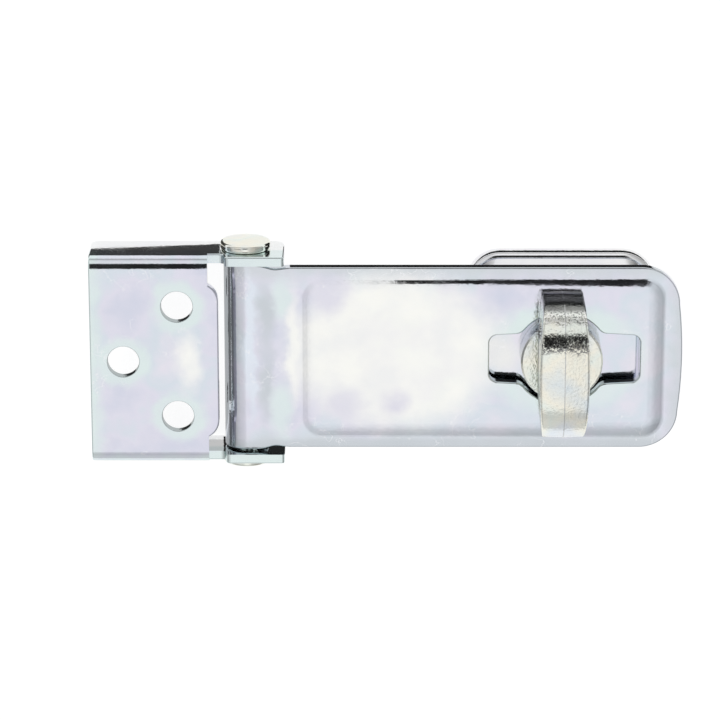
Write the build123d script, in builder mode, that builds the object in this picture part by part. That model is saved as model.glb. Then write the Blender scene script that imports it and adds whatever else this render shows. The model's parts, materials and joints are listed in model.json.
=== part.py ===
from build123d import *
import math
import os

# Locking hasp with a turning staple, shut and locked, lying on its mounting plane.
# +X runs from the hinge plate to the leaf's free end, +Y along the hinge pin,
# +Z out of the mounting plane. The origin is at the middle of the hasp's footprint.
# All sizes are in millimetres.

# Reach of each end from the hinge pin's axis, and of the staple's axis from the leaf's end
PLATE_REACH = 32.2
LEAF_REACH = 90.6
STAPLE_INSET = 25.1

# Hinge pin: a rivet with a low domed head and a formed tail, both round at the rim
PIN_D = 5.0
PIN_SEAT_CLEARANCE = 0.03
PIN_HEAD_D = 10.4
PIN_HEAD_RIM = 1.6
PIN_HEAD_DOME = 0.5
PIN_HEAD_ROUND = 0.6
PIN_TAIL_D = 10.0
PIN_TAIL_RIM = 1.3
PIN_TAIL_DOME = 0.4
PIN_TAIL_ROUND = 0.45

# Hinge plate: a folded channel with an ear at the end of each flange
PLATE_WIDTH = 45.0
PLATE_FRONT = 12.5
PLATE_SHEET = 2.0
PLATE_BEND_INSIDE = 0.7
PLATE_FOOT_CORNER = 2.0
PLATE_EDGE_ROLL = 0.3
FACE_EDGE_GAP = 1.0
FACE_SHOULDER = 2.2
TONGUE_TIP_WIDTH = 25.8
TONGUE_SPREAD = 3.6
EAR_REACH = 8.0
EAR_START = 4.3
EAR_DROP = 0.2
EAR_ROOT_CURVE = 1.0
EAR_FOOT_CORNER = 2.5
EAR_TIP_CORNER = 0.6

# Screw holes of the hinge plate: one from its open end, two from the hinge pin's axis
PLATE_HOLE_D = 6.6
PLATE_HOLE_ROLL = 0.12
PLATE_HOLE_MARGIN = 6.9
PLATE_HOLE_PAIR = 14.1
PLATE_HOLE_SPACING = 23.8

# Hasp leaf: a pressed sheet with a rolled knuckle, a raised panel and a cross slot
LEAF_SHEET = 2.0
LEAF_EDGE_ROLL = 0.3
LEAF_CORNER = 8.0
LEAF_END_BOW = 0.7
LEAF_SETBACK = 0.45
KNUCKLE_CLEARANCE = 0.06
KNUCKLE_LIFT = 0.94
KNUCKLE_SIDE_GAP = 0.4
KNUCKLE_SWEEP = 290.0
NECK_SETBACK = 0.75
NECK_START = 4.4
NECK_LENGTH = 3.2
PANEL_START = 11.6
PANEL_END_MARGIN = 3.9
PANEL_SIDE_MARGIN = 2.5
PANEL_RISE_NEAR = 0.22
PANEL_RISE_FAR = 0.44
PANEL_RUN = 1.9
PANEL_CORNER = 4.2
PANEL_CROWN = 12.0
PANEL_FOOT = 3.0
SLOT_OFFSET = 0.65
SLOT_END_GAP = 1.15
SLOT_SIDE_GAP = 0.75
SLOT_CORNER = 1.8
SLOT_BLEND = 2.4
SLOT_HOLE_GAP = 1.4

# Turning staple: a cast eye on a round boss, with a shank peened behind the dish
EYE_SPAN = 29.0
EYE_END_WIDTH = 8.5
EYE_MID_WIDTH = 10.2
EYE_HEIGHT = 15.2
EYE_GAP = 0.35
EYE_BAR = 4.4
EYE_SILL = 2.6
EYE_SHOULDER = 9.0
EYE_OPENING_ROUNDING = 0.45
EYE_FOOT_CORNER = 1.0
EYE_EDGE_ROLL = 0.5
MOULD_DRAFT = 2.0
SEAM_WIDTH = 0.3
SEAM_RISE = 0.08
BOSS_D = 17.0
BOSS_RISE = 2.42
BOSS_EDGE = 0.4
SHANK_D = 9.0
SHANK_CLEARANCE = 0.06
TURN_GAP = 0.1
PEEN_D = 12.0
PEEN_RIM = 0.4
PEEN_DOME = 0.9
WASHER_D = 15.0
WASHER_THICKNESS = 1.0

# Staple dish: a pressed cap behind the leaf, with its edges bent back to the mounting plane
DISH_LENGTH = 39.4
DISH_WIDTH = 41.6
DISH_SHEET = 1.8
DISH_CORNER = 7.0
DISH_RIM = 3.1
DISH_RIM_BEND = 1.3
DISH_RIM_FLAT = 0.1
DISH_SIDE_SLOPE = 40.0
DISH_END_SLOPE = 62.0
DISH_TOP_BEND = 1.2
DISH_LEAF_GAP = 1.15
DISH_HOLE_D = 5.5
DISH_HOLE_SPACING_X = 23.0
DISH_HOLE_SPACING_Y = 22.0

# Places and levels that follow from the sizes above
PIN_X = (PLATE_REACH - LEAF_REACH) / 2
PLATE_END_X = PIN_X - PLATE_REACH
LEAF_END_X = PIN_X + LEAF_REACH
STAPLE_X = LEAF_END_X - STAPLE_INSET
PIN_R = PIN_D / 2
KNUCKLE_BORE = PIN_R + KNUCKLE_CLEARANCE
KNUCKLE_R = KNUCKLE_BORE + LEAF_SHEET
PIN_Z = KNUCKLE_R + KNUCKLE_LIFT
LEAF_FRONT = PIN_Z + KNUCKLE_R
LEAF_BACK = LEAF_FRONT - LEAF_SHEET
PANEL_X = PIN_X + PANEL_START
PANEL_LENGTH = LEAF_REACH - PANEL_START - PANEL_END_MARGIN
PANEL_SLOPE = (PANEL_RISE_FAR - PANEL_RISE_NEAR) / PANEL_LENGTH
PANEL_FRONT = LEAF_FRONT + PANEL_RISE_NEAR + PANEL_SLOPE * (STAPLE_X - PANEL_X)
DISH_FRONT = LEAF_BACK - DISH_LEAF_GAP
DISH_BACK = DISH_FRONT - DISH_SHEET
EYE_BASE = PANEL_FRONT + EYE_GAP
BOSS_FRONT = PANEL_FRONT + BOSS_RISE
BOSS_SEAT = DISH_FRONT + TURN_GAP
WASHER_FRONT = DISH_BACK - TURN_GAP
WASHER_BACK = WASHER_FRONT - WASHER_THICKNESS
PLATE_HALF = PLATE_WIDTH / 2
PLATE_BEND = PLATE_BEND_INSIDE + PLATE_SHEET
KNUCKLE_HALF = PLATE_HALF - PLATE_SHEET - KNUCKLE_SIDE_GAP
LEAF_HALF = KNUCKLE_HALF - LEAF_SETBACK
NECK_HALF = KNUCKLE_HALF - NECK_SETBACK

PIN_AXIS = Axis((PIN_X, 0, PIN_Z), (0, 1, 0))
STAPLE_AXIS = Axis((STAPLE_X, 0, 0), (0, 0, 1))

os.makedirs("parts", exist_ok=True)


# Hinge plate: the channel, the tongue of its front face, and the two ears
with BuildPart() as hinge_plate:
    shoulder_x = PIN_X - KNUCKLE_R - FACE_EDGE_GAP - FACE_SHOULDER
    tongue_x = PIN_X - KNUCKLE_R - FACE_EDGE_GAP
    with BuildSketch(Plane.YZ.offset(PLATE_END_X)):
        with BuildLine():
            FilletPolyline(
                (-PLATE_HALF, 0),
                (-PLATE_HALF, PLATE_FRONT),
                (PLATE_HALF, PLATE_FRONT),
                (PLATE_HALF, 0),
                radius=PLATE_BEND,
            )
            offset(amount=PLATE_SHEET, side=Side.RIGHT)
        make_face()
    extrude(amount=shoulder_x - PLATE_END_X)
    flange_feet = hinge_plate.edges().filter_by(Axis.Y).group_by(Axis.Z)[0]
    fillet(flange_feet.group_by(Axis.X)[0], PLATE_FOOT_CORNER)

    # The face's middle runs on past its shoulders towards the knuckle
    with BuildSketch(Plane.XY.offset(PLATE_FRONT)):
        tip_half = TONGUE_TIP_WIDTH / 2
        root_half = tip_half + TONGUE_SPREAD
        with BuildLine():
            TangentArc((tongue_x, tip_half), (shoulder_x, root_half), tangent=(0, 1))
            TangentArc((tongue_x, -tip_half), (shoulder_x, -root_half), tangent=(0, -1))
            Line((tongue_x, -tip_half), (tongue_x, tip_half))
            Line((shoulder_x, -root_half), (shoulder_x, root_half))
        make_face()
    extrude(amount=-PLATE_SHEET)

    # An ear stands at the end of each flange, forward of the flange's root
    with BuildSketch(Plane.XZ.offset(-PLATE_HALF)) as ear:
        ear_front = PLATE_FRONT - EAR_DROP
        root_front = PLATE_FRONT - PLATE_BEND
        with BuildLine():
            Polyline(
                (shoulder_x, 0),
                (PIN_X + EAR_REACH, 0),
                (PIN_X + EAR_REACH, ear_front),
                (PIN_X - EAR_START, ear_front),
                (PIN_X - EAR_START, root_front),
                (shoulder_x, root_front),
                close=True,
            )
        make_face()
        fillet(ear.vertices().group_by(Axis.X)[-1].sort_by(Axis.Y)[0], EAR_FOOT_CORNER)
        fillet(ear.vertices().group_by(Axis.X)[-1].sort_by(Axis.Y)[-1], EAR_TIP_CORNER)
        steps = ear.vertices().filter_by_position(
            Axis.X, PIN_X - EAR_START - EAR_TIP_CORNER, PIN_X - EAR_START + EAR_TIP_CORNER
        )
        fillet(steps, EAR_ROOT_CURVE)
        with Locations((PIN_X, PIN_Z)):
            Circle(PIN_R + PIN_SEAT_CLEARANCE, mode=Mode.SUBTRACT)
    extrude(amount=PLATE_SHEET)
    mirror(about=Plane.XZ)

    # Screw holes through the front face
    with Locations((PLATE_END_X + PLATE_HOLE_MARGIN, 0, PLATE_FRONT)):
        Hole(PLATE_HOLE_D / 2, depth=2 * PLATE_SHEET)
    with Locations((PIN_X - PLATE_HOLE_PAIR, 0, PLATE_FRONT)):
        with GridLocations(0, PLATE_HOLE_SPACING, 1, 2):
            Hole(PLATE_HOLE_D / 2, depth=2 * PLATE_SHEET)

    # The punch leaves a slight roll on the front edges of the holes, the tongue and the open end
    front_edges = hinge_plate.edges().group_by(Axis.Z)[-1]
    tongue_edges = front_edges.filter_by_position(Axis.X, shoulder_x + PLATE_EDGE_ROLL, tongue_x)
    hole_edges = front_edges.filter_by(GeomType.CIRCLE).filter_by_position(Axis.X, PLATE_END_X, shoulder_x)
    end_edges = hinge_plate.edges().group_by(Axis.X)[0].filter_by(
        lambda edge: edge.center().Z > PLATE_FRONT - PLATE_SHEET / 2
        or abs(edge.center().Y) > PLATE_HALF - PLATE_SHEET / 2
    )
    fillet(tongue_edges + end_edges, PLATE_EDGE_ROLL)
    fillet(hole_edges, PLATE_HOLE_ROLL)


# Hinge pin: both heads lie against the outer faces of the ears
with BuildPart() as hinge_pin:
    with BuildSketch(Plane((PIN_X, 0, PIN_Z), (1, 0, 0), (0, 0, 1))) as rivet:
        head_top = PLATE_HALF + PIN_HEAD_RIM + PIN_HEAD_DOME
        head_rim = PLATE_HALF + PIN_HEAD_RIM
        tail_rim = PLATE_HALF + PIN_TAIL_RIM
        tail_top = PLATE_HALF + PIN_TAIL_RIM + PIN_TAIL_DOME
        with BuildLine():
            Line((0, -tail_top), (0, head_top))
            TangentArc((0, head_top), (PIN_HEAD_D / 2, head_rim), tangent=(1, 0))
            Polyline(
                (PIN_HEAD_D / 2, head_rim),
                (PIN_HEAD_D / 2, PLATE_HALF),
                (PIN_R, PLATE_HALF),
                (PIN_R, -PLATE_HALF),
                (PIN_TAIL_D / 2, -PLATE_HALF),
                (PIN_TAIL_D / 2, -tail_rim),
            )
            TangentArc((0, -tail_top), (PIN_TAIL_D / 2, -tail_rim), tangent=(1, 0))
        make_face()
        fillet(rivet.vertices().filter_by_position(Axis.Y, 0, head_top).sort_by(Axis.X)[-2:], PIN_HEAD_ROUND)
        fillet(rivet.vertices().filter_by_position(Axis.Y, -tail_top, 0).sort_by(Axis.X)[-2:], PIN_TAIL_ROUND)
    revolve(axis=PIN_AXIS)


# Hasp leaf: the sheet with its knuckle, trimmed to its outline, then pressed and slotted
with BuildPart() as hasp_leaf:
    with BuildSketch(Plane.XZ.offset(-KNUCKLE_HALF)):
        with BuildLine():
            outside = CenterArc((PIN_X, PIN_Z), KNUCKLE_R, 90, KNUCKLE_SWEEP)
            inside = CenterArc((PIN_X, PIN_Z), KNUCKLE_BORE, 90, KNUCKLE_SWEEP)
            Line(outside @ 1, inside @ 1)
            Polyline(outside @ 0, (LEAF_END_X, LEAF_FRONT), (LEAF_END_X, LEAF_BACK), inside @ 0)
        make_face()
    extrude(amount=2 * KNUCKLE_HALF)

    # Outline seen from the front: knuckle, necks beside it, body and bowed end
    with BuildSketch(Plane.XY) as outline:
        neck_x = PIN_X + NECK_START + NECK_LENGTH / 2
        body_x = PIN_X + NECK_START + NECK_LENGTH
        corner_x = LEAF_END_X - LEAF_END_BOW - LEAF_CORNER
        with BuildLine():
            Polyline(
                (PIN_X - 2 * KNUCKLE_R, 0),
                (PIN_X - 2 * KNUCKLE_R, KNUCKLE_HALF),
                (PIN_X + NECK_START / 2, KNUCKLE_HALF),
            )
            Spline(
                (PIN_X + NECK_START / 2, KNUCKLE_HALF),
                (neck_x, NECK_HALF),
                (body_x + NECK_LENGTH / 2, LEAF_HALF),
                tangents=((1, 0), (1, 0)),
            )
            Line((body_x + NECK_LENGTH / 2, LEAF_HALF), (corner_x, LEAF_HALF))
            corner = CenterArc((corner_x, LEAF_HALF - LEAF_CORNER), LEAF_CORNER, 0, 90)
            ThreePointArc(
                corner @ 0,
                (LEAF_END_X, 0),
                ((corner @ 0).X, -(corner @ 0).Y),
            )
            mirror(about=Plane.XZ)
        make_face()
    extrude(amount=2 * PLATE_FRONT, mode=Mode.INTERSECT)

    # Raised panel: the sheet is pressed forward inside the rim, deeper towards the free end
    panel_width = 2 * (LEAF_HALF - PANEL_SIDE_MARGIN)
    panel_middle = PANEL_X + PANEL_LENGTH / 2
    middle_rise = (PANEL_RISE_NEAR + PANEL_RISE_FAR) / 2
    crown_length = PANEL_LENGTH - 2 * PANEL_RUN
    crown_width = panel_width - 2 * PANEL_RUN
    for level, mode in ((LEAF_FRONT, Mode.ADD), (LEAF_BACK, Mode.SUBTRACT)):
        crown = Plane((panel_middle, 0, level + middle_rise), (1, 0, PANEL_SLOPE), (-PANEL_SLOPE, 0, 1))
        with BuildSketch(Plane.XY.offset(level)):
            with Locations((panel_middle, 0)):
                RectangleRounded(PANEL_LENGTH, panel_width, PANEL_CORNER)
        with BuildSketch(crown):
            RectangleRounded(crown_length, crown_width, PANEL_CORNER - PANEL_RUN)
        loft(mode=mode)
    fillet(hasp_leaf.faces().sort_by(Axis.Z)[-1].edges(), PANEL_CROWN)
    at_rim = hasp_leaf.edges().filter_by_position(Axis.Z, LEAF_FRONT - PANEL_FOOT, LEAF_FRONT)
    foot_edges = at_rim.filter_by_position(Axis.X, PANEL_X, PANEL_X + PANEL_LENGTH).filter_by_position(
        Axis.Y, -panel_width / 2, panel_width / 2
    )
    fillet(foot_edges, PANEL_FOOT)

    # Cross slot: two arms for the eye's ends, the outer one longer, and a round hole for the boss
    with BuildSketch(Plane.XY.offset(LEAF_BACK)) as slot:
        slot_x = STAPLE_X + SLOT_OFFSET
        arm_end = EYE_SPAN / 2 + SLOT_END_GAP
        slot_hole_r = BOSS_D / 2 + SLOT_HOLE_GAP
        end_half = EYE_END_WIDTH / 2 + SLOT_SIDE_GAP
        root_half = EYE_MID_WIDTH / 2 + SLOT_SIDE_GAP
        with Locations((slot_x, 0)):
            Polygon(
                (-arm_end, -end_half),
                (0, -root_half),
                (arm_end, -end_half),
                (arm_end, end_half),
                (0, root_half),
                (-arm_end, end_half),
                align=None,
            )
            fillet(slot.vertices().group_by(Axis.X)[0], SLOT_CORNER)
            fillet(slot.vertices().group_by(Axis.X)[-1], SLOT_CORNER)
        with Locations((STAPLE_X, 0)):
            Circle(slot_hole_r)
        arm_roots = slot.vertices().sort_by_distance((STAPLE_X, 0, 0))[:4]
        fillet(arm_roots, SLOT_BLEND)
    extrude(amount=LEAF_SHEET + PANEL_RISE_FAR, mode=Mode.SUBTRACT)
    slot_edges = hasp_leaf.edges().filter_by(
        lambda edge: edge.center().Z > LEAF_FRONT
        and abs(edge.center().Y) < slot_hole_r + LEAF_EDGE_ROLL
        and abs(edge.center().X - slot_x) < arm_end + LEAF_EDGE_ROLL
    )
    fillet(slot_edges, LEAF_EDGE_ROLL)
    rim_edges = hasp_leaf.edges().filter_by_position(
        Axis.Z, LEAF_FRONT - LEAF_EDGE_ROLL, LEAF_FRONT
    ).filter_by(
        lambda edge: edge.center().X > LEAF_END_X - LEAF_CORNER
        or (edge.center().X > PIN_X and abs(edge.center().Y) >= NECK_HALF - NECK_SETBACK)
    )
    fillet(rim_edges, LEAF_EDGE_ROLL)


# Turning staple: the eye is drafted both ways from the mould seam in its middle plane
with BuildPart() as turning_staple:
    with BuildSketch(Plane.YZ.offset(STAPLE_X)) as eye:
        with Locations((0, EYE_BASE)):
            Rectangle(EYE_SPAN, EYE_HEIGHT, align=(Align.CENTER, Align.MIN))
        fillet(eye.vertices().group_by(Axis.Y)[-1], EYE_SHOULDER)
        fillet(eye.vertices().group_by(Axis.Y)[0], EYE_FOOT_CORNER)
        opening_width = EYE_SPAN - 2 * EYE_BAR
        opening_height = EYE_HEIGHT - EYE_BAR - EYE_SILL
        opening_corner = min(EYE_SHOULDER - EYE_BAR, EYE_OPENING_ROUNDING * opening_height)
        with Locations((0, EYE_BASE + EYE_SILL + opening_height / 2)):
            RectangleRounded(opening_width, opening_height, opening_corner, mode=Mode.SUBTRACT)
    extrude(amount=EYE_MID_WIDTH / 2, both=True, taper=MOULD_DRAFT)

    # Seen from the front the eye is barrel shaped, widest at its middle
    with BuildSketch(Plane.XY.offset(EYE_BASE)):
        end = EYE_SPAN / 2
        near = EYE_END_WIDTH / 2
        wide = EYE_MID_WIDTH / 2
        with BuildLine():
            for sign in (-1, 1):
                ThreePointArc(
                    (STAPLE_X + sign * near, -end), (STAPLE_X + sign * wide, 0), (STAPLE_X + sign * near, end)
                )
                Line((STAPLE_X - near, sign * end), (STAPLE_X + near, sign * end))
        make_face()
    extrude(amount=EYE_HEIGHT, mode=Mode.INTERSECT)

    side_edges = turning_staple.edges().filter_by(
        lambda edge: abs(edge.center().X - STAPLE_X) > EYE_END_WIDTH / 2 - EYE_EDGE_ROLL
    )
    fillet(side_edges, EYE_EDGE_ROLL)

    # A thin ridge is left where the two halves of the mould met
    with BuildSketch(Plane.YZ.offset(STAPLE_X)):
        add(eye.sketch_local)
        offset(amount=SEAM_RISE)
    extrude(amount=SEAM_WIDTH / 2, both=True)

    # Boss, shank and peened end, all round about the turning axis
    with BuildSketch(Plane((STAPLE_X, 0, 0), (1, 0, 0), (0, -1, 0))):
        peen_rim = WASHER_BACK - PEEN_RIM
        peen_end = peen_rim - PEEN_DOME
        with BuildLine():
            Polyline(
                (0, peen_end),
                (0, BOSS_FRONT),
                (BOSS_D / 2 - BOSS_EDGE, BOSS_FRONT),
                (BOSS_D / 2, BOSS_FRONT - BOSS_EDGE),
                (BOSS_D / 2, BOSS_SEAT),
                (SHANK_D / 2, BOSS_SEAT),
                (SHANK_D / 2, WASHER_BACK),
                (PEEN_D / 2, WASHER_BACK),
                (PEEN_D / 2, peen_rim),
            )
            TangentArc((0, peen_end), (PEEN_D / 2, peen_rim), tangent=(1, 0))
        make_face()
    revolve(axis=STAPLE_AXIS)


# Washer between the dish and the peened end of the shank
with BuildPart() as staple_washer:
    with BuildSketch(Plane.XY.offset(WASHER_BACK)):
        with Locations((STAPLE_X, 0)):
            Circle(WASHER_D / 2)
            Circle(SHANK_D / 2 + SHANK_CLEARANCE, mode=Mode.SUBTRACT)
    extrude(amount=WASHER_THICKNESS)


# Staple dish: flanks rise from the bent rim to a flat top, and the sheet is even throughout
with BuildPart() as staple_dish:
    side_angle = math.radians(DISH_SIDE_SLOPE)
    end_angle = math.radians(DISH_END_SLOPE)
    side_run = (DISH_FRONT - DISH_RIM) / math.tan(side_angle)
    end_run = (DISH_FRONT - DISH_RIM) / math.tan(end_angle)
    side_step = DISH_SHEET * math.tan(side_angle / 2)
    end_step = DISH_SHEET * math.tan(end_angle / 2)
    rim_inset = DISH_RIM_BEND + DISH_RIM_FLAT
    with BuildSketch(Plane.XY):
        with Locations((STAPLE_X, 0)):
            RectangleRounded(DISH_LENGTH, DISH_WIDTH, DISH_CORNER)
    extrude(amount=DISH_RIM)
    fillet(staple_dish.edges().group_by(Axis.Z)[-1], DISH_RIM_BEND)
    for foot, top, end_foot, side_foot, mode in (
        (DISH_RIM, DISH_FRONT, rim_inset, rim_inset, Mode.ADD),
        (DISH_RIM - DISH_SHEET, DISH_BACK, rim_inset + end_step, rim_inset + side_step, Mode.SUBTRACT),
    ):
        for level, end_gap, side_gap in (
            (foot, end_foot, side_foot),
            (top, end_foot + end_run, side_foot + side_run),
        ):
            flank_length = DISH_LENGTH - 2 * end_gap
            flank_width = DISH_WIDTH - 2 * side_gap
            with BuildSketch(Plane.XY.offset(level)):
                with Locations((STAPLE_X, 0)):
                    RectangleRounded(flank_length, flank_width, DISH_CORNER - side_gap)
        loft(mode=mode)
    fillet(staple_dish.edges().group_by(Axis.Z)[-1], DISH_TOP_BEND)
    mouth_length = DISH_LENGTH - 2 * DISH_SHEET
    mouth_width = DISH_WIDTH - 2 * DISH_SHEET
    with BuildSketch(Plane.XY):
        with Locations((STAPLE_X, 0)):
            RectangleRounded(mouth_length, mouth_width, DISH_CORNER - DISH_SHEET)
    extrude(amount=DISH_RIM - DISH_SHEET, mode=Mode.SUBTRACT)
    with Locations((STAPLE_X, 0, DISH_FRONT)):
        Hole(SHANK_D / 2 + SHANK_CLEARANCE)
        with GridLocations(DISH_HOLE_SPACING_X, DISH_HOLE_SPACING_Y, 2, 2):
            Hole(DISH_HOLE_D / 2)


for name, piece in (
    ("hinge_plate", hinge_plate),
    ("hinge_pin", hinge_pin),
    ("hasp_leaf", hasp_leaf),
    ("turning_staple", turning_staple),
    ("staple_washer", staple_washer),
    ("staple_dish", staple_dish),
):
    piece.part.label = name
    export_step(piece.part, f"parts/{name}.step")
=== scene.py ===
# %% [markdown]
# A locking hasp, shut and locked, is dressed here for a studio picture. Its solids come packed
# from the CAD source, so the lesson starts by loading them as a fixed frame: a plate, a leaf
# that swings on it and a staple that turns on the leaf. The shapes are right already. What is
# missing is everything that makes plated steel look like plated steel.

# %% Load the frame
import json
import math

import bmesh
import bpy
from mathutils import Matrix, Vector


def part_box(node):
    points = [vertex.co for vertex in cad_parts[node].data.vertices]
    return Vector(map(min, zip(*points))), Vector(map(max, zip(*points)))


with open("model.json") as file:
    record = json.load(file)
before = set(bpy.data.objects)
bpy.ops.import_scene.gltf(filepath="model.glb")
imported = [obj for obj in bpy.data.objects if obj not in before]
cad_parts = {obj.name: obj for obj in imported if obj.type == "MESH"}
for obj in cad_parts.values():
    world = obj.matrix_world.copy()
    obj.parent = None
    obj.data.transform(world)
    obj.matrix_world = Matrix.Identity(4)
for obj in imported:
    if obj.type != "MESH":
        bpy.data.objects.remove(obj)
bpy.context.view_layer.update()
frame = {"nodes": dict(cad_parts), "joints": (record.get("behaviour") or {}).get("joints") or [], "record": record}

MM = 0.001
nodes = frame["nodes"]
joints = {joint["name"]: joint for joint in frame["joints"]}
pin = Vector(joints["leaf_swing"]["pos_m"])
turning = Vector(joints["staple_turn"]["pos_m"])
scene = bpy.context.scene
print("pieces:", ", ".join(sorted(nodes)))

# %% [markdown]
# The picture looks down on the hasp with the hinge on the left, leaning a little towards the
# pin's head, so the upper flange and the dish's upper edge both show. A short lens close by
# would show more of the sides than the real picture does, so the camera stands far off and the
# lens is long. The aim is taken from the hinge pin, which keeps it right if the leaf grows.

# %% Camera
LEAN = math.radians(18.3)
CAMERA_DISTANCE = 0.8
PICTURE_WIDTH = 149 * MM
SENSOR_WIDTH = 36.0
NEAREST_SEEN = 10 * MM
AIM_FROM_PIN = Vector((23.7 * MM, 0.4 * MM, 7.0 * MM))

lens_data = bpy.data.cameras.new("studio_camera")
lens_data.sensor_width = SENSOR_WIDTH
lens_data.lens = SENSOR_WIDTH * CAMERA_DISTANCE / PICTURE_WIDTH
lens_data.clip_start = NEAREST_SEEN
camera = bpy.data.objects.new("studio_camera", lens_data)
towards_camera = Vector((0, math.sin(LEAN), math.cos(LEAN)))
camera.location = pin + AIM_FROM_PIN + CAMERA_DISTANCE * towards_camera
camera.rotation_euler = (-LEAN, 0, 0)
scene.collection.objects.link(camera)
scene.camera = camera
scene.view_settings.view_transform = "Standard"
print("lens:", round(lens_data.lens, 1), "mm")

# %% [markdown]
# Bright plating shows little of its own colour: it shows the room. The real picture was taken
# under a white tent with a dark gap for the camera, and every bend in the metal squeezes that
# gap into a dark line. Lamps alone give no such gap. So the world is the tent. Its brightness
# is the product of two ramps: one follows the angle from straight up towards the pin's head,
# the other the angle along the hasp, where the tent falls off to both ends. The gap is cut by
# two more ramps and kept small, so that the hasp stays bright from its other sides. Each stop
# of a ramp is an angle in degrees and a level.

# %% Levels of the tent
TENT_ACROSS = (
    (-180, 0.50),
    (-110, 0.69),
    (-60, 0.69),
    (-41, 0.61),
    (-34, 0.68),
    (-28, 0.84),
    (-21, 0.97),
    (43, 0.92),
    (68, 0.88),
    (82, 0.48),
    (135, 0.42),
    (180, 0.42),
)
TENT_ALONG = (
    (-90, 0.30),
    (-70, 0.30),
    (-62, 0.60),
    (-52, 0.72),
    (-24, 0.77),
    (-15, 0.79),
    (-7, 0.98),
    (5, 1.0),
    (12, 0.86),
    (22, 0.62),
    (40, 0.50),
    (90, 0.45),
)
GAP_ACROSS = ((-180, 0), (-1.5, 0), (3, 0.6), (5, 1), (38, 1), (43, 0), (180, 0))
GAP_ALONG = ((-90, 0), (-15, 0), (-9, 1), (9, 1), (15, 0), (90, 0))
GAP_DEPTH = 0.98
WIDEST_ACROSS = 180
WIDEST_ALONG = 90
WHITE = (1, 1, 1, 1)
print("tent stops:", len(TENT_ACROSS), "across,", len(TENT_ALONG), "along")


# %% Sums and ramps in a node tree
def add_math(tree, operation, one, other=0):
    """One sum in a node tree; each side is a socket or a number."""
    node = tree.nodes.new("ShaderNodeMath")
    node.operation = operation
    for socket, value in zip(node.inputs, (one, other)):
        if isinstance(value, bpy.types.NodeSocket):
            tree.links.new(value, socket)
        else:
            socket.default_value = value
    return node.outputs[0]


def add_ramp(tree, value, stops):
    """A colour by a value from 0 to 1; each stop is a place and a colour."""
    ramp = tree.nodes.new("ShaderNodeValToRGB")
    elements = ramp.color_ramp.elements
    elements.remove(elements[0])
    for count, (place, colour) in enumerate(stops):
        stop = elements[0] if count == 0 else elements.new(place)
        stop.position = place
        stop.color = (*colour, 1)
    tree.links.new(value, ramp.inputs["Fac"])
    return ramp.outputs["Color"]


print("helpers: sums and ramps")

# %% Light tent
world = bpy.data.worlds.new("light_tent")
world.use_nodes = True
scene.world = world
tent = world.node_tree
tent.nodes.clear()
sky = tent.nodes.new("ShaderNodeSeparateXYZ")
tent.links.new(tent.nodes.new("ShaderNodeTexCoord").outputs["Generated"], sky.inputs[0])
across = add_math(tent, "ARCTAN2", sky.outputs["Y"], sky.outputs["Z"])
along = add_math(tent, "ARCSINE", sky.outputs["X"])


def add_tent_ramp(angle, stops, widest):
    """A level by one angle, from minus the widest to plus the widest."""
    share = tent.nodes.new("ShaderNodeMapRange")
    share.inputs["From Min"].default_value = -math.radians(widest)
    share.inputs["From Max"].default_value = math.radians(widest)
    tent.links.new(angle, share.inputs["Value"])
    greys = [
        ((degrees + widest) / (2 * widest), (level, level, level)) for degrees, level in stops
    ]
    return add_ramp(tent, share.outputs["Result"], greys)


def add_tent_levels(stops_across, stops_along):
    """The product of a ramp across the hasp and one along it."""
    level_across = add_tent_ramp(across, stops_across, WIDEST_ACROSS)
    level_along = add_tent_ramp(along, stops_along, WIDEST_ALONG)
    return add_math(tent, "MULTIPLY", level_across, level_along)


level = add_tent_levels(TENT_ACROSS, TENT_ALONG)
gap = add_tent_levels(GAP_ACROSS, GAP_ALONG)
left_over = add_math(tent, "SUBTRACT", 1, add_math(tent, "MULTIPLY", gap, GAP_DEPTH))
tent_light = tent.nodes.new("ShaderNodeBackground")
tent.links.new(add_math(tent, "MULTIPLY", level, left_over), tent_light.inputs["Color"])
backdrop = tent.nodes.new("ShaderNodeBackground")
backdrop.inputs["Color"].default_value = WHITE
choose = tent.nodes.new("ShaderNodeMixShader")
tent.links.new(tent.nodes.new("ShaderNodeLightPath").outputs["Is Camera Ray"], choose.inputs[0])
tent.links.new(tent_light.outputs[0], choose.inputs[1])
tent.links.new(backdrop.outputs[0], choose.inputs[2])
tent.links.new(choose.outputs[0], tent.nodes.new("ShaderNodeOutputWorld").inputs["Surface"])
print("tent nodes:", len(tent.nodes))

# %% [markdown]
# The hasp lies on a plain white sheet. The sheet is matt, so that it keeps a soft shadow, and
# for the camera a part of its white is its own glow. The metal sees less of that glow, so that
# the gaps under the leaf and inside the plate go dark in it. More lamps would whiten the sheet
# as well, but they would burn out the metal.


# %% Cards of the stage
def level_card(left, right, near, far, height):
    """Corners of a card that lies or hangs level."""
    return [
        (left, near, height),
        (right, near, height),
        (right, far, height),
        (left, far, height),
    ]


def add_card(name, corners):
    """A flat card on the stage, given by its corners."""
    mesh = bpy.data.meshes.new(name)
    shaper = bmesh.new()
    shaper.faces.new([shaper.verts.new(corner) for corner in corners])
    shaper.to_mesh(mesh)
    shaper.free()
    card = bpy.data.objects.new(name, mesh)
    scene.collection.objects.link(card)
    return card


print("helpers: cards of the stage")

# %% White sheet
SHEET_SIZE = 4.0
SHEET_DROP = 0.2 * MM
GLOW_TO_CAMERA = 0.88
GLOW_TO_METAL = 0.72
PAPER_TO_CAMERA = 0.34
PAPER_TO_METAL = 0.45

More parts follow.
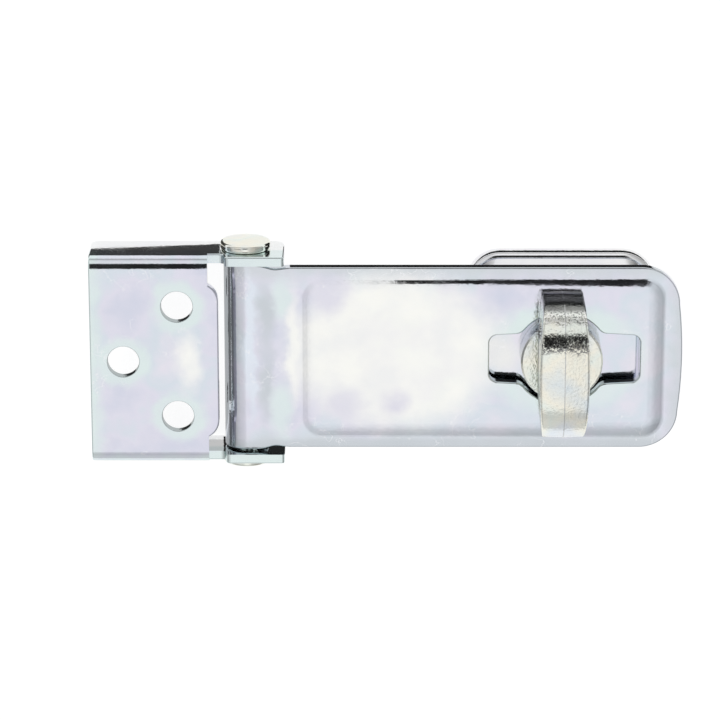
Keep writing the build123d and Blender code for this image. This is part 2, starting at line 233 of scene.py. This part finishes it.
sheet_paper = bpy.data.materials.new("white_paper")
sheet_paper.use_nodes = True
paper = sheet_paper.node_tree
paper.nodes.clear()
seen = paper.nodes.new("ShaderNodeLightPath").outputs
in_metal = add_math(paper, "MAXIMUM", seen["Is Glossy Ray"], seen["Is Transmission Ray"])
matt = paper.nodes.new("ShaderNodeBsdfDiffuse")
darker = add_math(paper, "MULTIPLY", seen["Is Camera Ray"], PAPER_TO_CAMERA - PAPER_TO_METAL)
paper.links.new(add_math(paper, "ADD", darker, PAPER_TO_METAL), matt.inputs["Color"])
glow = paper.nodes.new("ShaderNodeEmission")
glow.inputs["Color"].default_value = WHITE
to_camera = add_math(paper, "MULTIPLY", seen["Is Camera Ray"], GLOW_TO_CAMERA)
to_metal = add_math(paper, "MULTIPLY", in_metal, GLOW_TO_METAL)
paper.links.new(add_math(paper, "ADD", to_camera, to_metal), glow.inputs["Strength"])
both = paper.nodes.new("ShaderNodeAddShader")
paper.links.new(matt.outputs[0], both.inputs[0])
paper.links.new(glow.outputs[0], both.inputs[1])
paper.links.new(both.outputs[0], paper.nodes.new("ShaderNodeOutputMaterial").inputs["Surface"])

half = SHEET_SIZE / 2
sheet = add_card("white_sheet", level_card(-half, half, -half, half, -SHEET_DROP))
sheet.data.materials.append(sheet_paper)
print("sheet:", SHEET_SIZE, "m wide")

# %% [markdown]
# Dark cards are set round the hasp, out of the camera's sight. The three beside the hasp are
# painted shadow: they stand for the hasp's own shadow on the white sheet, so the upright walls
# that face them turn dark, and the hasp stands out from the white sheet. Small ones under the
# holes and two grey ones in the channel are painted shade: they stand for the shaded sheet inside
# the channel, and darken the hole walls and the knuckle. Two strips hang over the plate's bend and
# the panel's upper border and widen the dark lines there. They are narrow, because a wide card
# above the hasp would show in the leaf as a dark square from other sides.
# Dark paint on the walls would do it too, but it would stay dark from every side. The cards glow
# by a set amount in place of being lit, which keeps their greys exact.

# %% Edges that the cards follow
plate_low, plate_high = (Vector(corner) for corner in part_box("hinge_plate"))
dish_high = Vector(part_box("staple_dish")[1])
leaf_low, leaf_high = (Vector(corner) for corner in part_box("hasp_leaf"))
mounts = {mount["name"]: mount for mount in frame["record"]["mounts"]}
hole_r = mounts["plate_screw_single"]["dims"]["r_mm"] * MM
pair = mounts["plate_screw_pair"]
pair_step = Vector((0, pair["dims"]["spacing_y_mm"] / 2 * MM, 0))
plate_holes = [
    Vector(mounts["plate_screw_single"]["pos_m"]),
    Vector(pair["pos_m"]) + pair_step,
    Vector(pair["pos_m"]) - pair_step,
]
print("plate holes:", len(plate_holes), "of", round(2 * hole_r / MM, 1), "mm")

# %% One dark card
BLACK = 0.02
FLANGE_BLACK = 0.05
DARK_GREY = 0.17
MIDDLE_GREY = 0.55


def add_dark_card(name, corners, grey):
    """A card that only the metal sees, of a set grey."""
    paint = bpy.data.materials.new(name)
    paint.use_nodes = True
    paint.node_tree.nodes.clear()
    emission = paint.node_tree.nodes.new("ShaderNodeEmission")
    emission.inputs["Color"].default_value = (grey, grey, grey, 1)
    output = paint.node_tree.nodes.new("ShaderNodeOutputMaterial")
    paint.node_tree.links.new(emission.outputs[0], output.inputs["Surface"])
    card = add_card(name, corners)
    card.data.materials.append(paint)
    card.visible_camera = False
    card.visible_diffuse = False
    card.visible_shadow = False


print("greys of the cards:", BLACK, "to", MIDDLE_GREY)

# %% Cards beside the hasp
CARD_REACH = 12 * MM
CARD_DROP = SHEET_DROP / 2
PAST_PLATE = 14 * MM
PAST_LEAF = 8 * MM
PLATE_TO_PIN = 5.5 * MM
CHANNEL_TO_PIN = 5.2 * MM
EAR_REACH = 9 * MM
EAR_WALL = 2.3 * MM
DISH_GAP = 0.5 * MM
SLANT_LEFT = 2.4 * MM
SLANT_RIGHT = 0.8 * MM

# Painted shadow: the three cards below stand for the hasp's own shadow on the white sheet, beside and under it, as
# the metal sees it.
plate_edge = plate_high.y
plate_left = plate_low.x - PAST_PLATE
plate_right = pin.x - PLATE_TO_PIN
slanted = [
    (plate_left, plate_edge + SLANT_LEFT, -CARD_DROP),
    (plate_right, plate_edge + SLANT_RIGHT, -CARD_DROP),
    (plate_right, plate_edge + CARD_REACH, -CARD_DROP),
    (plate_left, plate_edge + CARD_REACH, -CARD_DROP),
]
add_dark_card("plate_shadow_card", slanted, FLANGE_BLACK)
dish_edge = dish_high.y + DISH_GAP
beside_leaf = level_card(
    left=pin.x + EAR_REACH,
    right=leaf_high.x + PAST_LEAF,
    near=dish_edge,
    far=dish_edge + CARD_REACH,
    height=-CARD_DROP,
)
add_dark_card("leaf_shadow_card", beside_leaf, BLACK)
ear_edge = plate_low.y + EAR_WALL
beside_ear = level_card(
    left=pin.x - CHANNEL_TO_PIN,
    right=pin.x + EAR_REACH,
    near=ear_edge,
    far=ear_edge + CARD_REACH,
    height=-CARD_DROP,
)
add_dark_card("ear_shadow_card", beside_ear, BLACK)
print("cards beside the hasp: 3, each", round(CARD_REACH / MM), "mm deep or a little less")

# %% Strips above the hasp
STRIP_HEIGHT = 25 * MM
BEND_STRIP_PAST_PLATE = 4 * MM
BEND_STRIP_TO_PIN = 9 * MM
BEND_STRIP_INWARD = 4 * MM
BEND_STRIP_OUTWARD = 1 * MM
PANEL_STRIP_FROM_PIN = 31 * MM
PANEL_STRIP_TO_END = 4.5 * MM
PANEL_STRIP_WIDTH = 4.6 * MM

strip_z = plate_high.z + STRIP_HEIGHT
over_bend = level_card(
    left=plate_low.x - BEND_STRIP_PAST_PLATE,
    right=pin.x - BEND_STRIP_TO_PIN,
    near=plate_edge - BEND_STRIP_INWARD,
    far=plate_edge + BEND_STRIP_OUTWARD,
    height=strip_z,
)
add_dark_card("bend_strip", over_bend, BLACK)
over_panel = level_card(
    left=pin.x + PANEL_STRIP_FROM_PIN,
    right=leaf_high.x - PANEL_STRIP_TO_END,
    near=leaf_high.y - PANEL_STRIP_WIDTH,
    far=leaf_high.y,
    height=strip_z,
)
add_dark_card("panel_strip", over_panel, BLACK)
print("strips: 2, hung", round(strip_z / MM, 1), "mm up")

# %% Cards under the holes and in the channel
HOLE_CARD_LEFT = 5 * MM
HOLE_CARD_RIGHT = 0.7 * MM
HOLE_CARD_NEAR = 3.5 * MM
HOLE_CARD_FAR = 0.4 * MM
GREY_DROP = SHEET_DROP * 3 / 4
CHANNEL_WALL = 3 * MM
CHANNEL_STOP = 2 * MM

# Painted shade: the cards under the holes and in the channel stand for the shaded sheet inside the plate's
# channel, as its hole walls and the knuckle see it.
for count, hole in enumerate(plate_holes):
    under_hole = level_card(
        left=hole.x - HOLE_CARD_LEFT,
        right=hole.x - HOLE_CARD_RIGHT,
        near=hole.y - HOLE_CARD_NEAR,
        far=hole.y + HOLE_CARD_FAR,
        height=-CARD_DROP,
    )
    add_dark_card(f"hole_shade_card_{count}", under_hole, BLACK)
inside = plate_high.y - CHANNEL_WALL
in_channel = level_card(
    left=plate_low.x,
    right=pin.x - CHANNEL_TO_PIN,
    near=-inside,
    far=inside,
    height=-GREY_DROP,
)
add_dark_card("channel_shade_card", in_channel, MIDDLE_GREY)
stop_x = plate_low.x + CHANNEL_STOP
stop_z = plate_high.z - CHANNEL_WALL
upright = [
    (stop_x, -inside, 0),
    (stop_x, inside, 0),
    (stop_x, inside, stop_z),
    (stop_x, -inside, stop_z),
]
add_dark_card("channel_end_shade_card", upright, DARK_GREY)
print("cards under the holes:", len(plate_holes), "and in the channel: 2")

# %% [markdown]
# Bright zinc has a faint skin of colour. The passivation is thin and uneven: lavender on the
# open faces, pale green where the bath lay longer along edges and round holes, cream where the
# sheet was rubbed. A flat grey metal would miss that. A slow noise picks the tint of the open
# face, halos measured from the real edges bring in the green, and soft spots the cream.

# %% Tints of the plating
SHEET_TINTS = (
    (0.30, (0.64, 0.68, 0.80)),
    (0.42, (0.71, 0.72, 0.83)),
    (0.50, (0.77, 0.76, 0.86)),
    (0.58, (0.71, 0.77, 0.84)),
    (0.70, (0.81, 0.79, 0.87)),
)
CAST_TINTS = (
    (0.30, (0.70, 0.79, 0.86)),
    (0.42, (0.93, 0.90, 0.79)),
    (0.50, (0.85, 0.90, 0.84)),
    (0.58, (0.94, 0.92, 0.82)),
    (0.70, (0.76, 0.84, 0.90)),
)
GREEN_TINT = (0.76, 0.86, 0.85, 1)
CREAM_TINT = (0.98, 0.98, 0.94, 1)
BLUE_TINT = (0.78, 0.84, 0.92, 1)
PAINTED_LIGHT_WHITE = (0.97, 0.97, 0.97, 1)
PALE_TINT = (0.87, 0.87, 0.86, 1)
LAVENDER_TINT = (0.77, 0.76, 0.85, 1)
RIM_TINT = (0.65, 0.69, 0.72, 1)
PAINTED_SHADE_GREY = (0.61, 0.65, 0.69, 1)
SEAM_TINT = (0.52, 0.53, 0.53, 1)
PAINTED_DARK_TINT = (0.11, 0.11, 0.11, 1)
SPECK_TINT = (0.24, 0.24, 0.24, 1)
SCRATCH_TINT = (0.93, 0.93, 0.95, 1)
print("tints:", len(SHEET_TINTS), "on the sheets,", len(CAST_TINTS), "on the casting")

# %% Noises over a piece
NOISE_MIDDLE = 0.5
WANDER_SCALE = 190
WANDER_DETAIL = 3.0


def add_noise_node(tree, where, scale, detail):
    """A noise over the piece's own metres."""
    noise = tree.nodes.new("ShaderNodeTexNoise")
    noise.inputs["Scale"].default_value = scale
    noise.inputs["Detail"].default_value = detail
    tree.links.new(where, noise.inputs["Vector"])
    return noise


def add_noise(tree, where, scale, detail):
    """The level of a noise, about a half on average."""
    return add_noise_node(tree, where, scale, detail).outputs["Fac"]


def add_wander(tree, where, reach):
    """Places moved by up to half the reach, to give what is drawn there a ragged border."""
    noise = add_noise_node(tree, where, WANDER_SCALE, WANDER_DETAIL)
    shift = tree.nodes.new("ShaderNodeVectorMath")
    shift.operation = "SUBTRACT"
    tree.links.new(noise.outputs["Color"], shift.inputs[0])
    shift.inputs[1].default_value = (NOISE_MIDDLE, NOISE_MIDDLE, NOISE_MIDDLE)
    moved = tree.nodes.new("ShaderNodeVectorMath")
    moved.operation = "MULTIPLY_ADD"
    tree.links.new(shift.outputs["Vector"], moved.inputs[0])
    moved.inputs[1].default_value = (reach, reach, reach)
    tree.links.new(where, moved.inputs[2])
    return moved.outputs["Vector"]


print("ragged borders: noise of scale", WANDER_SCALE)


# %% Soft masks and tints
def add_range(tree, value, low, high, to_low, to_high):
    """Maps a value softly from one range to another and stops at its ends."""
    node = tree.nodes.new("ShaderNodeMapRange")
    node.interpolation_type = "SMOOTHSTEP"
    node.inputs["From Min"].default_value = low
    node.inputs["From Max"].default_value = high
    node.inputs["To Min"].default_value = to_low
    node.inputs["To Max"].default_value = to_high
    tree.links.new(value, node.inputs["Value"])
    return node.outputs["Result"]


def add_spot(tree, where, centre, inner, outer, stretch):
    """A mask that is 1 inside a round or drawn-out spot and 0 from its outer radius on."""
    place = tree.nodes.new("ShaderNodeMapping")
    place.inputs["Location"].default_value = [-at * by for at, by in zip(centre, stretch)]
    place.inputs["Scale"].default_value = stretch
    away = tree.nodes.new("ShaderNodeVectorMath")
    away.operation = "LENGTH"
    tree.links.new(where, place.inputs["Vector"])
    tree.links.new(place.outputs["Vector"], away.inputs[0])
    return add_range(tree, away.outputs["Value"], inner, outer, 1, 0)


def add_border(tree, where, low, high, width):
    """A mask that is 1 along the border of a box seen from the front and 0 further inside."""
    split = tree.nodes.new("ShaderNodeSeparateXYZ")
    tree.links.new(where, split.inputs[0])
    left = add_math(tree, "SUBTRACT", split.outputs["X"], low[0])
    right = add_math(tree, "SUBTRACT", high[0], split.outputs["X"])
    near = add_math(tree, "SUBTRACT", split.outputs["Y"], low[1])
    far = add_math(tree, "SUBTRACT", high[1], split.outputs["Y"])
    end = add_math(tree, "MINIMUM", left, right)
    side = add_math(tree, "MINIMUM", near, far)
    return add_range(tree, add_math(tree, "MINIMUM", end, side), 0, width, 1, 0)


def add_tint(tree, under, over, share):
    """Lays one colour over another by a share from the surface."""
    mix = tree.nodes.new("ShaderNodeMix")
    mix.data_type = "RGBA"
    tree.links.new(share, mix.inputs["Factor"])
    tree.links.new(under, mix.inputs["A"])
    mix.inputs["B"].default_value = over
    return mix.outputs["Result"]


print("masks: spots and borders")

# %% [markdown]
# The finish itself is one recipe used for every piece. The grain of the sheet, stray hair
# scratches and small pits are height, because a real scratch catches the light and a painted
# one does not. The casting gets the same recipe with deeper grain and pits. A noise is given
# by its scale, which is higher for finer marks, and by its detail.

# %% Noises of the plating
TINT_NOISE = (60, 4.0)
CLOUD_NOISE = (120, 3.0)
CLOUD_RANGE = (0.3, 0.7)
CLOUD_SHARE = (0.75, 1.0)
HAIR_NOISE = (260, 3.0)
HAIR_WIDTH = (0.002, 0.012)
HAIR_DEPTH = 0.06
RUBBED_NOISE = (90, 1.0)
RUBBED_RANGE = (0.50, 0.62)
BLOTCH_NOISE = (160, 4.0)
BLOTCH_RANGE = (0.35, 0.7)
GRAIN_DETAIL = 3.0
PIT_RANGE = (0.05, 0.22)
BUMP_STRENGTH = 1.0
BUMP_DISTANCE = 0.05 * MM
PATCH_WANDER = 5 * MM
print("bump distance:", BUMP_DISTANCE / MM, "mm")


# %% Plated zinc
def plated_zinc(name, tints, gloss, grain, pits, scratch, patches=()):
    """A bright plated finish with its tints, patches of colour, grain, scratches and pits."""
    finish = bpy.data.materials.new(name)
    finish.use_nodes = True
    tree = finish.node_tree
    shader = tree.nodes["Principled BSDF"]
    shader.inputs["Metallic"].default_value = 1.0
    where = tree.nodes.new("ShaderNodeTexCoord").outputs["Object"]

    colour = add_ramp(tree, add_noise(tree, where, *TINT_NOISE), tints)
    cloud = add_range(tree, add_noise(tree, where, *CLOUD_NOISE), *CLOUD_RANGE, *CLOUD_SHARE)
    wander = add_wander(tree, where, PATCH_WANDER)
    for tint, make_mask in patches:
        share = add_math(tree, "MULTIPLY", make_mask(tree, where, wander), cloud)
        colour = add_tint(tree, colour, tint, share)
    hair_noise = add_noise(tree, where, *HAIR_NOISE)
    thread = add_math(tree, "ABSOLUTE", add_math(tree, "SUBTRACT", hair_noise, NOISE_MIDDLE))
    rubbed = add_range(tree, add_noise(tree, where, *RUBBED_NOISE), *RUBBED_RANGE, 0, scratch)
    hair = add_math(tree, "MULTIPLY", add_range(tree, thread, *HAIR_WIDTH, 1, 0), rubbed)
    colour = add_tint(tree, colour, SCRATCH_TINT, hair)
    tree.links.new(colour, shader.inputs["Base Color"])

    blotch = add_noise(tree, where, *BLOTCH_NOISE)
    tree.links.new(add_range(tree, blotch, *BLOTCH_RANGE, *gloss), shader.inputs["Roughness"])

    grain_scale, grain_depth = grain
    grain_noise = add_noise(tree, where, grain_scale, GRAIN_DETAIL)
    height = add_math(tree, "MULTIPLY", grain_noise, grain_depth)
    height = add_math(tree, "ADD", height, add_math(tree, "MULTIPLY", hair, -HAIR_DEPTH))
    pit_scale, pit_depth = pits
    cells = tree.nodes.new("ShaderNodeTexVoronoi")
    cells.inputs["Scale"].default_value = pit_scale
    tree.links.new(where, cells.inputs["Vector"])
    pit = add_range(tree, cells.outputs["Distance"], *PIT_RANGE, -pit_depth, 0)
    height = add_math(tree, "ADD", height, pit)
    bump = tree.nodes.new("ShaderNodeBump")
    bump.inputs["Strength"].default_value = BUMP_STRENGTH
    bump.inputs["Distance"].default_value = BUMP_DISTANCE
    tree.links.new(height, bump.inputs["Height"])
    tree.links.new(bump.outputs["Normal"], shader.inputs["Normal"])
    return finish


print("recipe: plated zinc")

# %% [markdown]
# A patch is a tint with a mask. Rubbed spots and halos have a ragged border, because a hand or a
# bath left them. Strips keep to the shape of the piece. A patch could be painted on by hand, but
# a mask measured from the hinge pin or from an edge moves with it. A spot or strip is given by
# its middle, the radius that is full, the radius where it ends, and its scale along each axis:
# less than one draws it out, and none makes it a band.

# %% Kinds of patch
HALO_START = 0.8 * MM
HALO_WIDTH = 3.4 * MM
SPECK_SCALE = 2300
SPECK_DETAIL = 4.0
ROUND = (1, 1, 0)
ONLY_X = (1, 0, 0)
ONLY_Y = (0, 1, 0)
ONLY_Z = (0, 0, 1)


def spot(centre, inner, outer, stretch=ROUND):
    """A soft patch on an open face, round or drawn out."""
    return lambda tree, where, wander: add_spot(tree, wander, centre, inner, outer, stretch)


def strip(centre, inner, outer, stretch):
    """A patch that keeps to the shape of the piece."""
    return lambda tree, where, wander: add_spot(tree, where, centre, inner, outer, stretch)


def specks(centre, inner, outer, noise_low, noise_high):
    """Small specks in a band across the casting."""

    def mask(tree, where, wander):
        band = add_spot(tree, wander, centre, inner, outer, ONLY_Y)
        noise = add_noise(tree, where, SPECK_SCALE, SPECK_DETAIL)
        grit = add_range(tree, noise, noise_low, noise_high, 0, 1)
        return add_math(tree, "MULTIPLY", band, grit)

    return mask


def hole_halo(centre, radius):
    """A halo round one hole."""
    return spot(centre, radius + HALO_START, radius + HALO_WIDTH)


def border_halo(low, high, width=HALO_WIDTH):
    """A halo along the border of one piece."""
    return lambda tree, where, wander: add_border(tree, wander, low, high, width)


def from_pin(x, y):
    """A place on the hasp, in millimetres from the middle of the hinge pin."""
    return pin + Vector((x * MM, y * MM, 0))


def from_staple(x, y):
    """A place on the hasp, in millimetres from the axis of the staple."""
    return turning + Vector((x * MM, y * MM, 0))


print("halos:", round(HALO_WIDTH / MM, 1), "mm wide")

# %% [markdown]
# The plate is a folded sheet, greener round its three screw holes, on its ears, and along its
# outer end and lower bend. It is rubbed beside the knuckle. Its flanges are painted whiter towards
# the foot, a painted reflection of the white sheet. A mask for each border would do, but one box
# is simpler: its far corner is moved out, so that no halo falls at the hinge and the upper bend.
# The three sheets share one gloss and grain, so those are kept in one place.

# %% Finish of the plate
SHEET_LOOK = {
    "tints": SHEET_TINTS,
    "gloss": (0.06, 0.13),
    "grain": (1100, 0.35),
    "pits": (420, 0.06),
    "scratch": 0.45,
}
EAR_X = 1.5
EAR_Y = 21.5
EAR_STAIN = (1.2 * MM, 2.4 * MM, (0.16, 1, 0))
RUBBED_BY_KNUCKLE = (0.5 * MM, 4 * MM, (1, 0.45, 0))
FOOT_PAINTED_REFLECTION = (6 * MM, 8 * MM, ONLY_Z)
mounting_plane = Vector((0, 0, 0))
past_far_corner = Vector((HALO_WIDTH, HALO_WIDTH, 0))

plate_zinc = plated_zinc(
    "plate_zinc",
    **SHEET_LOOK,
    patches=[
        (GREEN_TINT, border_halo(plate_low, plate_high + past_far_corner)),
        *((GREEN_TINT, hole_halo(centre, hole_r)) for centre in plate_holes),
        (CREAM_TINT, spot(from_pin(-11.5, 0), *RUBBED_BY_KNUCKLE)),
        (GREEN_TINT, strip(from_pin(EAR_X, EAR_Y), *EAR_STAIN)),
        (GREEN_TINT, strip(from_pin(EAR_X, -EAR_Y), *EAR_STAIN)),
        # Painted reflection: the flanges are painted whiter towards the foot, for the white sheet seen in them.
        (PAINTED_LIGHT_WHITE, strip(mounting_plane, *FOOT_PAINTED_REFLECTION)),
    ],
)
print("finish:", plate_zinc.name)

# %% [markdown]
# The leaf is grey along its rim and green round the cross slot, and a grey strip of painted shade
# runs along its lower rim. The middle of the raised panel is rubbed nearly white, with lavender
# left in its corners. The rolled knuckle and the neck beside it carry long narrow stripes of blue,
# green and cream tint, and two grey stripes of painted shade on the knuckle. Each row of the table
# is a tint, a place in millimetres from the pin, the radius that is full, the radius where it
# ends, and how it is drawn out.

# %% Finish of the leaf
RIM_WIDTH = 5 * MM
ROUND_SLOT = (12 * MM, 17 * MM, (0.85, 1.25, 0))
RIM_SHADE_FROM_END = 40 * MM
RIM_SHADE = (1.8 * MM, 3.4 * MM, (0.04, 1, 0))
LEAF_SPOTS = (
    (CREAM_TINT, (31, 1.5), 12, 19, (0.72, 0.95)),
    (LAVENDER_TINT, (20.6, -10), 1, 6, (1, 1)),
    (LAVENDER_TINT, (31, -10), 0, 5, (1, 1)),
    (LAVENDER_TINT, (17.5, 13.5), 1, 6, (1, 1)),
    (BLUE_TINT, (1, 2), 0.6, 1.8, (1, 0.08)),
    # Painted shade: the next two grey stripes on the knuckle.
    (PAINTED_SHADE_GREY, (4.2, 9.5), 0.6, 3, (1, 0.3)),
    (PAINTED_SHADE_GREY, (4.4, -6), 0.6, 3, (1, 0.24)),
    (GREEN_TINT, (7.4, 13), 0.6, 3, (1, 0.4)),
    (GREEN_TINT, (7.4, -12), 0.6, 3, (1, 0.35)),
    (CREAM_TINT, (9.8, 2), 0.3, 2.2, (1, 0.12)),
)
lower_rim = Vector((leaf_high.x - RIM_SHADE_FROM_END, leaf_low.y, 0))

leaf_zinc = plated_zinc(
    "leaf_zinc",
    **SHEET_LOOK,
    patches=[
        (RIM_TINT, border_halo(leaf_low, leaf_high, RIM_WIDTH)),
        (GREEN_TINT, spot(turning, *ROUND_SLOT)),
        *(
            (tint, spot(from_pin(*place), inner * MM, outer * MM, (*stretch, 0)))
            for tint, place, inner, outer, stretch in LEAF_SPOTS
        ),
        # Painted shade: a grey strip along the lower rim, darker towards the bottom.
        (PAINTED_SHADE_GREY, strip(lower_rim, *RIM_SHADE)),
    ],
)
print("finish:", leaf_zinc.name, "with", len(LEAF_SPOTS), "spots")

# %% [markdown]
# Of the dish only the upper edge shows, and a little of its middle through the slot. The middle
# is made paler where it shows through the slot, and the upper edge is painted white, a painted
# highlight. The pin and the washer are plain pieces with a clean plating, so they get the recipe
# with no patches.

# %% Finishes of the dish, the pin and the washer
PALE_IN_SLOT = (2 * MM, 6 * MM)
EDGE_PAINTED_HIGHLIGHT = (5 * MM, 7 * MM, ONLY_Y)

dish_zinc = plated_zinc(
    "dish_zinc",
    **SHEET_LOOK,
    patches=[
        (PALE_TINT, spot(from_staple(-13, 0), *PALE_IN_SLOT)),
        # Painted highlight: the dish's upper edge is painted white.
        (PAINTED_LIGHT_WHITE, strip(dish_high, *EDGE_PAINTED_HIGHLIGHT)),
    ],
)
pin_zinc = plated_zinc(
    "pin_zinc",
    CAST_TINTS,
    gloss=(0.07, 0.13),
    grain=(900, 0.25),
    pits=(500, 0.08),
    scratch=0.3,
)
print("finishes:", dish_zinc.name, "and", pin_zinc.name)

# %% [markdown]
# The staple is cast, so its skin is rougher than the sheets. Bands of pale and dark specks lie
# across its shoulder, its upper end is painted dark, a painted dark reflection, and its lower end
# is bluish, and a thin grey line marks the seam of the mould. Even bands of colour would look
# painted, so the bands are broken up.
# Each row of the table is a tint, the band's distance from the staple's axis and its inner and
# outer half width in millimetres, and the levels of noise where the specks start and are full.

# %% Finish of the staple
CAST_SPECKS = (
    (PALE_TINT, 12.7, 0.9, 1.7, 0.52, 0.46),
    (SPECK_TINT, 12.9, 0.9, 1.7, 0.52, 0.60),
    (SPECK_TINT, 7.6, 0.7, 1.8, 0.44, 0.54),
)
BLUE_END = (2 * MM, 5 * MM)
PAINTED_DARK_END = (0.6 * MM, 1.4 * MM, ONLY_Y)
SEAM_LINE = (0.03 * MM, 0.16 * MM, ONLY_X)

cast_zinc = plated_zinc(
    "cast_zinc",
    CAST_TINTS,
    gloss=(0.10, 0.20),
    grain=(1700, 1.5),
    pits=(900, 0.3),
    scratch=0.4,
    patches=[
        (BLUE_TINT, spot(from_staple(0, -12.5), *BLUE_END)),
        *(
            (tint, specks(from_staple(0, y), inner * MM, outer * MM, start, full))
            for tint, y, inner, outer, start, full in CAST_SPECKS
        ),
        # Painted dark reflection: the staple's upper end is painted dark.
        (PAINTED_DARK_TINT, strip(from_staple(0, 14.5), *PAINTED_DARK_END)),
        (SEAM_TINT, strip(turning, *SEAM_LINE)),
    ],
)
print("finish:", cast_zinc.name, "with", len(CAST_SPECKS), "bands of specks")

# %% [markdown]
# Each piece keeps its CAD shape and only changes its finish. A copy of the mesh would do for
# looks too, but the solids are round and smooth enough, and they already ride on their bodies.

# %% Dress the pieces
FINISHES = {
    "hinge_plate": plate_zinc,
    "hasp_leaf": leaf_zinc,
    "staple_dish": dish_zinc,
    "hinge_pin": pin_zinc,
    "staple_washer": pin_zinc,
    "turning_staple": cast_zinc,
}
for name, finish in FINISHES.items():
    nodes[name].data.materials.clear()
    nodes[name].data.materials.append(finish)
print("finishes:", len(set(FINISHES.values())), "on", len(FINISHES), "pieces")

# %% [markdown]

print("hasp dressed")
